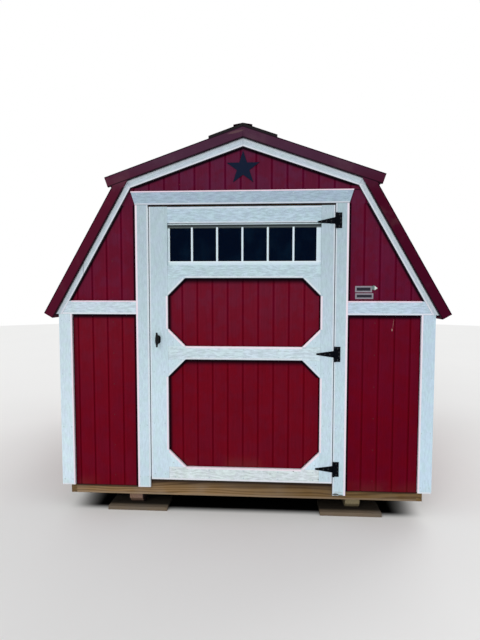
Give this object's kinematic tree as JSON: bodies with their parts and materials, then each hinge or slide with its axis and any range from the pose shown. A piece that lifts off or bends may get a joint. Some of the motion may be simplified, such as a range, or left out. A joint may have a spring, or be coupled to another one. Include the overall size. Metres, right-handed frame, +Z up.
{
  "type": "gambrel storage barn",
  "caption": "Small gambrel-roofed storage barn on skids: grooved red siding, white trim, ribbed metal roof, hinged braced door with a transom window and a T handle.",
  "frame": {"origin": "on the ground, in the middle of the floor plan", "axes": "+Z up, -Y out of the front with the door, +X to the right seen from the front"},
  "size_m": [2.7108, 3.1755, 2.5875],
  "materials": {
    "treated_wood": "rough sawn",
    "framing_wood": "planed",
    "sheathing": "strand board",
    "red_siding": "painted, satin",
    "white_trim": "painted, satin",
    "roof_metal": "painted",
    "roof_boards": "painted",
    "closure_foam": "matt",
    "black_metal": "powder coat",
    "dark_glass": "polished"
  },
  "bodies": {
    "root": {"ground_pads": "treated_wood", "skids": "treated_wood", "side_rims": "treated_wood", "floor_joists": "treated_wood", "floor_deck": "sheathing", "side_plates": "framing_wood", "end_plates": "framing_wood", "side_studs": "framing_wood", "end_studs": "framing_wood", "door_header": "framing_wood", "lower_rafters": "framing_wood", "upper_rafters": "framing_wood", "roof_gussets": "sheathing", "front_wall_siding": "red_siding", "front_shoulder_siding": "red_siding", "front_gable_siding": "red_siding", "back_wall_siding": "red_siding", "back_gable_siding": "red_siding", "side_siding": "red_siding", "roof_deck": "sheathing", "roofing": "roof_metal", "ridge_cap": "roof_metal", "ridge_closures": "closure_foam", "roof_fascias": "roof_boards", "soffits": "red_siding", "rake_boards": "roof_boards", "rake_trims": "roof_metal", "gable_boards": "white_trim", "band_boards": "white_trim", "end_corner_boards": "white_trim", "side_corner_boards": "white_trim", "door_jamb_boards": "white_trim", "door_head_board": "white_trim", "hinge_plates": "black_metal", "gable_star": "black_metal"},
    "door": {"door_skin": "red_siding", "door_stiles": "white_trim", "door_rails": "white_trim", "door_corner_braces": "white_trim", "door_back_stiles": "framing_wood", "door_back_rails": "framing_wood", "window_frame": "white_trim", "window_glass": "dark_glass", "hinge_straps": "black_metal", "handle_base": "black_metal"},
    "handle": {"t_handle": "black_metal"}
  },
  "joints": [
    {"name": "door_hinge", "type": "hinge", "parent": "root", "child": "door", "pos_m": [0.6065, -1.5605, 1.144], "axis": [0, 0, 1], "range_deg": [0, 170]},
    {"name": "handle_turn", "type": "hinge", "parent": "door", "child": "handle", "pos_m": [-0.57, -1.56, 1.185], "axis": [0, -1, 0], "range_deg": [0, 90]}
  ]
}
